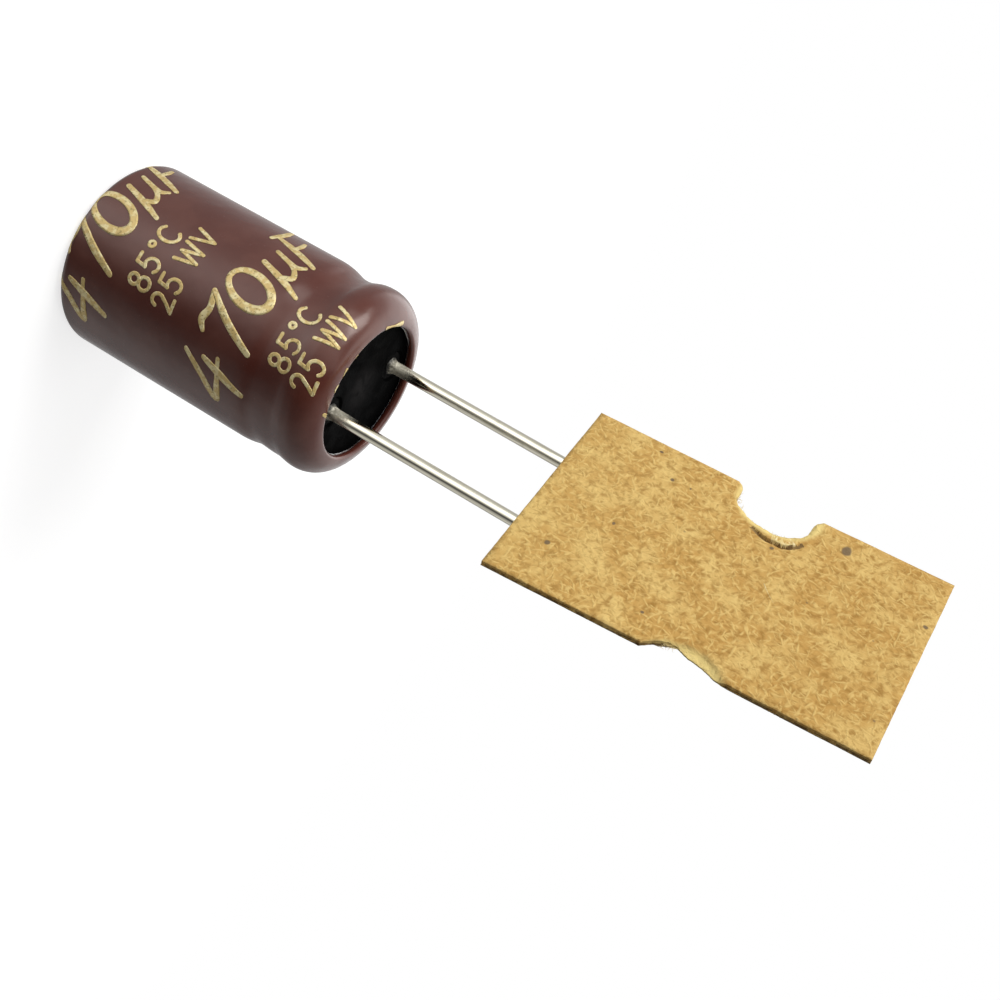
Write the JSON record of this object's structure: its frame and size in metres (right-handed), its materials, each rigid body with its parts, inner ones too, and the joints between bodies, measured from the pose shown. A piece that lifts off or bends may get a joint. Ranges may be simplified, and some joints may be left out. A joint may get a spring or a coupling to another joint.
{
  "type": "radial aluminium electrolytic capacitor",
  "caption": "Radial aluminium electrolytic capacitor in a dark red shrunk sleeve, with its two leads still glued to a cut piece of carrier card.",
  "frame": {"origin": "centre of the resting face at the body's closed end", "axes": "+Z along the body from its closed end to its leads, +X along the lead pitch towards the anode lead, -Y towards the bare face of the carrier card"},
  "size_m": [0.0141, 0.01, 0.0444],
  "materials": {
    "sleeve_film": "satin",
    "can_metal": "satin",
    "seal_rubber": "matte",
    "terminal_metal": "satin",
    "lead_tin": "satin",
    "foil_metal": "matte",
    "separator_paper": "matte",
    "wrap_tape": "matte",
    "kraft_card": "matte",
    "kraft_tape": "matte"
  },
  "bodies": {
    "root": {"sleeve": "sleeve_film", "can": "can_metal", "rubber_bung": "seal_rubber", "anode_terminal": "terminal_metal", "cathode_terminal": "terminal_metal", "anode_lead": "lead_tin", "cathode_lead": "lead_tin", "anode_foil": "foil_metal", "inner_separator": "separator_paper", "cathode_foil": "foil_metal", "outer_separator": "separator_paper", "element_tape": "wrap_tape", "carrier_card": "kraft_card", "hold_down_tape": "kraft_tape"}
  },
  "joints": []
}
